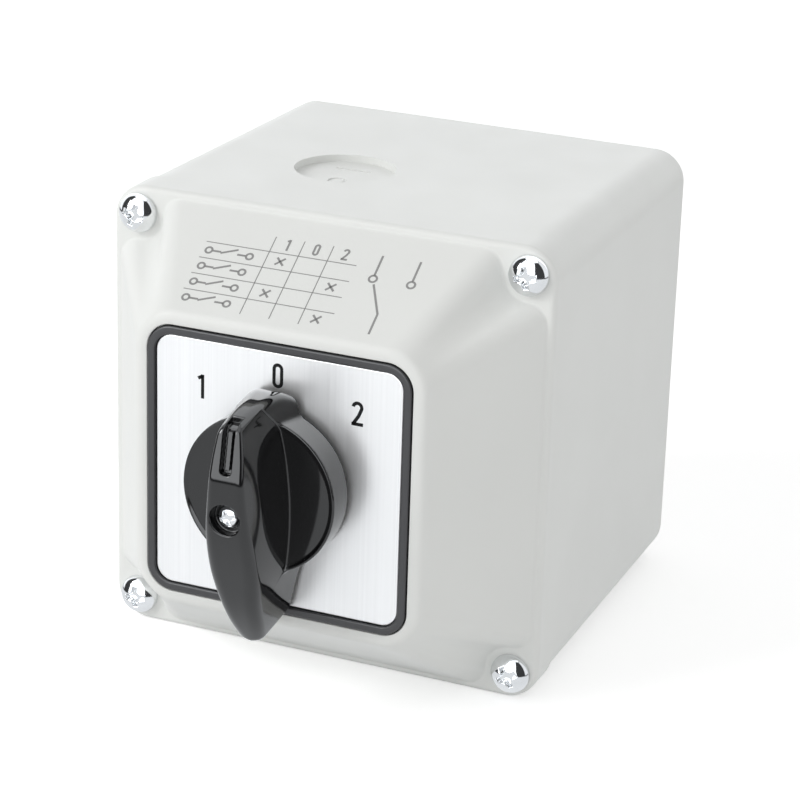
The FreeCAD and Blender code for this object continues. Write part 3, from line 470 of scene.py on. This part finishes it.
# ---------------------------------------------------------------- cover
SCREW_AT = 47.6
FACE_PLANE_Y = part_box("front_cover")[0].y / MM
CROWN_HALF = 34.6               # boss outline at its front, where slope and face would meet sharp
CROWN_R = 9.5
CREST_HALF = 32.9               # where the flat face ends and the rounding to the slope starts
CREST_R = 7.8
CREST_ENDS = 0.947              # share of the slope, from the foot up, that stays straight
FOOT_HALF = 52.2                # boss outline on the rim
NOTCH_R = 6.4
RIM_ROUND = 1.4
SEAM_ROUND = 0.35
COVER_R = 8
POCKET_GAP = 0.2
POCKET_R = 6.2
POCKET_ROUND = 0.3
# Half width and corner or notch radius of outlines inside the cover.
SHAFT_OPENING = (11, 10.99)
CAVITY = (50.6, 7.2)
BOSS_CAVITY = (49.0, 9.4)
BOSS_CAVITY_TOP = (32, 6)
SIDE_STEPS = 24
ARC_STEPS = 8


def corner_arc(centre, radius, start, end):
    angles = np.radians(np.linspace(start, end, ARC_STEPS + 1)[:-1])
    return [(centre[0] + radius * math.cos(a), centre[1] + radius * math.sin(a)) for a in angles]


def turned_round(quarter):
    """Repeats a quarter outline four times about the centre."""
    quarter_turn = np.array([[0, 1], [-1, 0]])
    sides = [np.array(quarter)]
    for _ in range(3):
        sides.append(sides[-1] @ quarter_turn)
    return np.concatenate(sides)


def straight(a, b):
    return [tuple(p) for p in np.linspace(a, b, SIDE_STEPS + 1)[:-1]]


def rounded_outline(half, radius):
    """Rounded square. Point for point it matches notched_outline."""
    c = half - radius
    quarter = straight((half, -c), (half, c))
    for third in range(3):
        quarter += corner_arc((c, c), radius, third * 30, third * 30 + 30)
    return turned_round(quarter)


def notched_outline(half, notch_r):
    """Square whose corners are hollowed round the cover screws, in tangent arcs."""
    corner_r = half - SCREW_AT
    low = SCREW_AT - notch_r - corner_r
    quarter = straight((half, -low), (half, low))
    quarter += corner_arc((SCREW_AT, low), corner_r, 0, 90)
    quarter += corner_arc((SCREW_AT, SCREW_AT), notch_r, 270, 180)
    quarter += corner_arc((low, SCREW_AT), corner_r, 0, 90)
    return turned_round(quarter)


def ring_at(outline, y):
    return np.insert(outline, 1, y, axis=1)


def blend_rings(a, b, c, steps):
    """Rings that round the corner between a-b and b-c, without the last one."""
    t = np.linspace(0, 1, steps + 1)[:-1]
    return [(1 - s) ** 2 * a + 2 * s * (1 - s) * b + s * s * c for s in t]


def lofted(rings):
    """Quads between successive rings, and from the last ring to the first."""
    n = len(rings[0])
    points = np.concatenate(rings)
    faces = []
    for r in range(len(rings)):
        a, b = r * n, ((r + 1) % len(rings)) * n
        for k in range(n):
            m = (k + 1) % n
            faces.append((a + k, a + m, b + m, b + k))
    return points, faces


def cover():
    """Screwed-on cover: rim with screw pads, tapered boss, pocket for the escutcheon, hollow inside."""
    low, high = (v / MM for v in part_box("front_cover"))
    half, face_y, seam_y = high.x, low.y, high.y
    pocket_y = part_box("plate_gasket")[1].y / MM
    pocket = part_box("escutcheon_frame")[1].x / MM + POCKET_GAP
    inner_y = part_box("index_housing")[0].y / MM
    foot = ring_at(notched_outline(FOOT_HALF, NOTCH_R), PAD_Y)
    crown = ring_at(rounded_outline(CROWN_HALF, CROWN_R), face_y)

    def slope(u):
        return foot + (crown - foot) * u

    def squared(half_width, radius, y):
        return ring_at(rounded_outline(half_width, radius), y)
    rings = [squared(*SHAFT_OPENING, pocket_y), squared(pocket, POCKET_R, pocket_y)]
    rings += blend_rings(squared(pocket, POCKET_R, face_y + POCKET_ROUND), squared(pocket, POCKET_R, face_y),
                         squared(pocket + POCKET_ROUND, POCKET_R + POCKET_ROUND, face_y), 4)
    rings += [squared(pocket + POCKET_ROUND + 0.05, POCKET_R + POCKET_ROUND + 0.05, face_y)]
    rings += blend_rings(squared(CREST_HALF, CREST_R, face_y), crown, slope(CREST_ENDS), 10)
    rings += [slope(u) for u in np.linspace(CREST_ENDS, 0.03, 18)]
    rings += blend_rings(slope(0.025), foot, ring_at(notched_outline(52.55, 6.05), PAD_Y), 6)
    rings += [ring_at(notched_outline(52.56, 6.04), PAD_Y)]
    for a in np.radians(np.linspace(90, 0, 9)):
        inset = RIM_ROUND * (1 - math.cos(a))
        rings.append(squared(half - inset, COVER_R - inset, PAD_Y + RIM_ROUND * (1 - math.sin(a))))
    seam_half, seam_r = half - SEAM_ROUND, COVER_R - SEAM_ROUND
    rings += blend_rings(squared(half, COVER_R, seam_y - SEAM_ROUND), squared(half, COVER_R, seam_y),
                         squared(seam_half, seam_r, seam_y), 3)
    rings += [squared(seam_half - 0.01, seam_r - 0.01, seam_y),
              ring_at(notched_outline(*CAVITY), seam_y),
              ring_at(notched_outline(*CAVITY), PAD_Y + 2),
              ring_at(notched_outline(*BOSS_CAVITY), PAD_Y + 1.9),
              squared(*BOSS_CAVITY_TOP, inner_y), squared(*SHAFT_OPENING, inner_y)]
    points, faces = lofted(rings)
    piece = mesh_object("cover_shell", points * MM, [f[::-1] for f in faces], "enclosure",
                        GREY_PLASTIC)
    sharpen(piece, 40)
    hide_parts("front_cover")


def sharpen(piece, degrees):
    """Splits the shading wherever two faces meet at more than this angle, and keeps flat faces flat."""
    mesh = bmesh.new()
    mesh.from_mesh(piece.data)
    for edge in mesh.edges:
        if len(edge.link_faces) == 2 and edge.calc_face_angle(0) > math.radians(degrees):
            edge.smooth = False
    mesh.to_mesh(piece.data)
    mesh.free()
    piece.modifiers.new("weighted", "WEIGHTED_NORMAL").keep_sharp = True


# ---------------------------------------------------------------- escutcheon frame and label
FRAME_HOLE_R = 7.0
LABEL_HOLE_R = 6.5
LABEL_GAP = 0.2
FRAME_CLEARANCE = 0.1           # widens the dark gap round the frame
FRAME_R = 6
FRAME_ROUND = 0.35
RECESS_R = 4.2
RECESS_ROUND = 0.3
LABEL_R = 4
LABEL_ROUND = 0.3


def circle(radius):
    return rounded_outline(radius, radius - 0.01)


def rounded_edge(outside, inside, radius, y, steps=5):
    """Rings over a quarter-round edge, from the side wall (half, corner radius) on to the face at y."""
    rings = []
    for a in np.radians(np.linspace(0, 90, steps + 1)):
        share = 1 - math.cos(a)
        half = outside[0] + (inside[0] - outside[0]) * share
        corner = outside[1] + (inside[1] - outside[1]) * share
        rings.append(ring_at(rounded_outline(half, corner), y + radius * (1 - math.sin(a))))
    return rings


def escutcheon_frame():
    """Square frame: rounded rim, recess for the label, and its floor with the hole for the shaft."""
    low, high = (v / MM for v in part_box("escutcheon_frame"))
    half, front, back = high.x - FRAME_CLEARANCE, low.y, high.y
    label_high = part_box("label_plate")[1] / MM
    inner = label_high.x + LABEL_GAP
    hole = circle(FRAME_HOLE_R)
    rings = [ring_at(hole, back), ring_at(rounded_outline(half, FRAME_R), back)]
    rings += rounded_edge((half, FRAME_R), (half - FRAME_ROUND, FRAME_R - FRAME_ROUND), FRAME_ROUND, front)
    rings += rounded_edge((inner, RECESS_R), (inner + RECESS_ROUND, RECESS_R + RECESS_ROUND), RECESS_ROUND,
                          front)[::-1]
    rings += [ring_at(rounded_outline(inner, RECESS_R), label_high.y), ring_at(hole, label_high.y)]
    points, faces = lofted(rings)
    piece = mesh_object("escutcheon_rim", points * MM, faces, "enclosure", BLACK_SATIN)
    sharpen(piece, 40)
    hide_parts("escutcheon_frame")


def label():
    """Thin metal sheet in the frame, its edge rounded so that it catches the light."""
    low, high = (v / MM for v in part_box("label_plate"))
    half, front, back = high.x, low.y, high.y
    hole = circle(LABEL_HOLE_R)
    rings = [ring_at(hole, back), ring_at(rounded_outline(half, LABEL_R), back)]
    rings += rounded_edge((half, LABEL_R), (half - LABEL_ROUND, LABEL_R - LABEL_ROUND), LABEL_ROUND, front)
    rings += [ring_at(hole, front)]
    points, faces = lofted(rings)
    piece = mesh_object("label_sheet", points * MM, faces, "enclosure", LABEL_METAL)
    sharpen(piece, 40)
    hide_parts("label_plate")


# ---------------------------------------------------------------- print on the label and the cover
def stroke(path, width):
    """Flat ribbon along a path in the plane, as left and right points."""
    path = np.array(path, float)
    ahead = np.gradient(path, axis=0)
    ahead /= np.linalg.norm(ahead, axis=1)[:, None]
    across = np.stack([-ahead[:, 1], ahead[:, 0]], 1) * width / 2
    return path + across, path - across


def oval(width, height, steps=40):
    """Stadium-shaped closed path."""
    r = width / 2
    top = [(r * math.cos(a), height / 2 - r + r * math.sin(a)) for a in np.linspace(0, math.pi, steps // 2)]
    bottom = [(-x, -y) for x, y in top]
    return top + bottom + [top[0]]


DIGIT_STROKE = 0.78


def digit_strokes():
    """Centre lines of 0, 1 and 2, each about its own centre, in mm."""
    zero = oval(2.6 - DIGIT_STROKE, 5.7 - DIGIT_STROKE)
    one = [(0.35, -2.8), (0.35, 2.8)]
    flag = [(-0.75, 1.85), (0.35, 2.45)]
    hook = [(1.0 * math.cos(a), 1.4 + 1.02 * math.sin(a)) for a in np.radians(np.linspace(172, -25, 24))]
    two = hook + [(0.3, -0.5), (-0.95, -2.42)]
    base = [(-1.35, -2.42), (1.4, -2.42)]
    return {"0": [zero], "1": [one, flag], "2": [two, base]}


def ribbon_mesh(name, strokes, width, lift, material, body, thickness=0.02):
    """Printed strokes. lift turns a point of the plane into (x, y, z) in mm, a little above it."""
    points, faces = [], []
    for path in strokes:
        left, right = stroke(path, width)
        start = len(points)
        for a, b in zip(left, right):
            points += [lift(a, 0), lift(b, 0), lift(b, thickness), lift(a, thickness)]
        for k in range(len(left) - 1):
            i = start + 4 * k
            for m in range(4):
                n = (m + 1) % 4
                faces.append((i + m, i + 4 + m, i + 4 + n, i + n))
        faces += [(start + 3, start + 2, start + 1, start),
                  tuple(start + 4 * (len(left) - 1) + m for m in range(4))]
    return mesh_object(name, np.array(points) * MM, faces, body, material, smooth=False)


def label_print():
    """Digits on the label: 1 and 2 stand 45 degrees either side of 0."""
    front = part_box("label_plate")[0].y / MM
    digits = digit_strokes()
    for name, x, z in (("0", 0, 24.5), ("1", -18.6, 18.8), ("2", 19.05, 19.1)):
        def lift(p, rise, x=x, z=z):
            return (x + p[0], front - 0.01 - rise, z + p[1])
        ribbon_mesh("digit_" + name, digits[name], DIGIT_STROKE, lift, INK, "enclosure")


def ring_path(x, s, radius):
    return [(x + radius * math.cos(a), s + radius * math.sin(a)) for a in np.linspace(0, 2 * math.pi, 25)]


CHART_COLUMNS = (-7.0, 0.0, 7.0)
CHART_ROWS = (18.5, 14.0, 9.5, 5.0)


def chart_paths():
    """Generic contact chart: a pair of terminals in each row, and a cross where they're joined."""
    rules, marks = [], []
    for row, s in enumerate(CHART_ROWS):
        rules.append([(-26, s + 2.25), (10.5, s + 2.25)])
        marks += [ring_path(-24.5, s, 0.8), ring_path(-14.5, s, 0.8)]
        marks += [[(-23.7, s), (-21.5, s)], [(-17.5, s), (-15.3, s)], [(-21.5, s - 0.3), (-17.7, s + 1.3)]]
        x = CHART_COLUMNS[2 * (row % 2)]
        marks += [[(x - 1, s - 1), (x + 1, s + 1)], [(x - 1, s + 1), (x + 1, s - 1)]]
    rules += [[(x - 3.5, 3.0), (x - 3.5, 25.0)] for x in CHART_COLUMNS]
    return rules, marks


def symbol_paths():
    """Changeover contact: one lead below, a blade, and two leads above."""
    return [[(20, 4), (20, 9)], [(20, 9), (16.2, 16.6)], ring_path(15.5, 18, 0.9), ring_path(24.5, 18, 0.9),
            [(15.5, 18.9), (15.5, 24.5)], [(24.5, 18.9), (24.5, 24.5)], [(20, 4), (20, 3.5)]]


def slope_print():
    """Pale generic chart on the slope over the plate, in place of the maker's lettering."""
    crown = Vector((0, FACE_PLANE_Y, CROWN_HALF))
    down = Vector((0, PAD_Y - FACE_PLANE_Y, FOOT_HALF - CROWN_HALF)).normalized()
    out = Vector((0, -down.z, down.y))

    def lift(p, rise):
        return tuple(crown + Vector((p[0], 0, 0)) + down * p[1] + out * (rise + 0.004))
    rules, marks = chart_paths()
    digits = digit_strokes()
    for name, x in zip("102", CHART_COLUMNS):
        for path in digits[name]:
            marks.append([(x + 0.55 * u, 23.2 + 0.55 * v) for u, v in path])
    ribbon_mesh("chart_rules", rules, 0.22, lift, GREY_INK, "enclosure")
    ribbon_mesh("chart_marks", marks + symbol_paths(), 0.5, lift, GREY_INK, "enclosure")


# ---------------------------------------------------------------- stage
def area_light(name, position, aim, size, power):
    light = bpy.data.lights.new(name, "AREA")
    light.shape = "RECTANGLE"
    light.size, light.size_y = size
    light.energy = power
    lamp = bpy.data.objects.new(name, light)
    lamp.location = position
    lamp.rotation_euler = (Vector(aim) - Vector(position)).to_track_quat("-Z", "Y").to_euler()
    bpy.context.scene.collection.objects.link(lamp)


def calculate(tree, operation, a, b=0.0):
    """Result of a maths node whose inputs are sockets or plain numbers."""
    node = add(tree, "ShaderNodeMath", operation=operation)
    for socket, value in zip(node.inputs, (a, b)):
        if isinstance(value, (int, float)):
            socket.default_value = value
        else:
            tree.links.new(value, socket)
    return node.outputs["Value"]


def window(tree, value, start, end, soft):
    """1 where value lies between start and end, fading to 0 within soft outside them."""
    edges = []
    for low, high, first, last in ((start - soft, start, 0, 1), (end, end + soft, 1, 0)):
        node = add(tree, "ShaderNodeMapRange", interpolation_type="SMOOTHSTEP")
        for name, number in (("From Min", low), ("From Max", high), ("To Min", first), ("To Max", last)):
            node.inputs[name].default_value = number
        tree.links.new(value, node.inputs["Value"])
        edges.append(node.outputs["Result"])
    return calculate(tree, "MULTIPLY", *edges)


# What glossy surfaces see: level, range of elevation, and range of azimuth from -Y towards +X, in degrees.
REFLECTED = [
    (0.92, (-95, -15), (-200, 200)),        # white table
    (2.7, (-8, 58), (-52, 26)),             # softbox in front, left of the camera
    (1.3, (-8, 58), (-200, -95)),           # wall on the left
    (1.9, (5, 58), (-200, -125)),           # window behind, on both sides of the middle
    (1.9, (5, 58), (140, 200)),
    (1.0, (-8, 58), (82, 200)),             # wall on the right
    (1.5, (63, 95), (-200, 200)),           # ceiling
]
REFLECTED_GAPS = 0.05
ELEVATION_FADE = 3
AZIMUTH_FADE = 6


def reflected_level(tree, direction):
    """Strength of the studio in a direction, for glossy rays only."""
    split = add(tree, "ShaderNodeSeparateXYZ")
    tree.links.new(direction, split.inputs["Vector"])
    x, y, z = split.outputs
    elevation = calculate(tree, "MULTIPLY", calculate(tree, "ARCSINE", z), 180 / math.pi)
    back = calculate(tree, "MULTIPLY", y, -1.0)
    azimuth = calculate(tree, "MULTIPLY", calculate(tree, "ARCTAN2", x, back), 180 / math.pi)
    level = REFLECTED_GAPS
    for strength, (low, high), (left, right) in REFLECTED:
        rows = window(tree, elevation, low, high, ELEVATION_FADE)
        columns = window(tree, azimuth, left, right, AZIMUTH_FADE)
        panel = calculate(tree, "MULTIPLY", calculate(tree, "MULTIPLY", rows, columns), strength)
        level = calculate(tree, "MAXIMUM", level, panel)
    return level


def studio_world():
    """Even white surroundings for matt surfaces; panels and dark gaps for what glossy ones reflect."""
    world = bpy.data.worlds.new("studio")
    bpy.context.scene.world = world
    world.use_nodes = True
    tree = world.node_tree
    direction = add(tree, "ShaderNodeTexCoord").outputs["Generated"]
    split = add(tree, "ShaderNodeSeparateXYZ")
    tree.links.new(direction, split.inputs["Vector"])
    soft = tree.nodes["Background"]
    soft.inputs["Color"].default_value = (1, 1, 1, 1)
    dimmer_above = add(tree, "ShaderNodeMapRange", From_Min=0.1, From_Max=1.0, To_Min=0.98, To_Max=0.48)
    tree.links.new(split.outputs["Z"], dimmer_above.inputs["Value"])
    tree.links.new(dimmer_above.outputs["Result"], soft.inputs["Strength"])
    glossy = add(tree, "ShaderNodeBackground")
    glossy.inputs["Color"].default_value = (0.95, 0.975, 1.0, 1)
    tree.links.new(reflected_level(tree, direction), glossy.inputs["Strength"])
    mix = add(tree, "ShaderNodeMixShader")
    tree.links.new(add(tree, "ShaderNodeLightPath").outputs["Is Glossy Ray"], mix.inputs["Fac"])
    tree.links.new(soft.outputs["Background"], mix.inputs[1])
    tree.links.new(glossy.outputs["Background"], mix.inputs[2])
    tree.links.new(mix.outputs["Shader"], tree.nodes["World Output"].inputs["Surface"])


def floor_material():
    """White sweep. To the camera alone it glows a little, so that it stays white under the enclosure."""
    material, tree, shader = new_material("floor_white")
    tone = object_noise(tree, 3, 2)
    tree.links.new(ramp(tree, tone, [(0.3, 0.87), (0.7, 0.9)]), shader.inputs["Base Color"])
    shader.inputs["Roughness"].default_value = 0.9
    shader.inputs["Emission Color"].default_value = (1, 1, 1, 1)
    seen = add(tree, "ShaderNodeLightPath").outputs["Is Camera Ray"]
    tree.links.new(calculate(tree, "MULTIPLY", seen, 0.4), shader.inputs["Emission Strength"])
    return material


def stage():
    floor_z = cad_bounds[0][2]
    mesh = bpy.data.meshes.new("floor")
    reach = 6.0
    corners = [(-reach, -reach), (reach, -reach), (reach, reach), (-reach, reach)]
    mesh.from_pydata([(x, y, floor_z) for x, y in corners], [], [(0, 1, 2, 3)])
    floor = bpy.data.objects.new("floor", mesh)
    bpy.context.scene.collection.objects.link(floor)
    floor.data.materials.append(floor_material())
    floor.visible_glossy = False
    studio_world()
    bpy.context.scene.view_settings.view_transform = "Standard"
    area_light("key", (-0.8, -0.84, 0.65), (0, -0.06, 0), (0.5, 0.5), 5.6)


def camera():
    """Looks down on the front from its right, with a long lens."""
    data = bpy.data.cameras.new("camera")
    data.sensor_width = 36
    data.lens = 128.4
    view = bpy.data.objects.new("camera", data)
    view.location = (0.2490, -0.6436, 0.2407)
    aim = Vector((0.0, -0.0506, -0.0044))
    roll = Matrix.Rotation(math.radians(1.77), 4, "Z")
    look = (aim - view.location).to_track_quat("-Z", "Y").to_matrix().to_4x4()
    view.rotation_euler = (look @ roll).to_euler()
    bpy.context.scene.collection.objects.link(view)
    bpy.context.scene.camera = view


dress_cad_nodes()
cover()
escutcheon_frame()
label()
knob()
cover_screws()
knob_screw()
label_print()
slope_print()
stage()
camera()
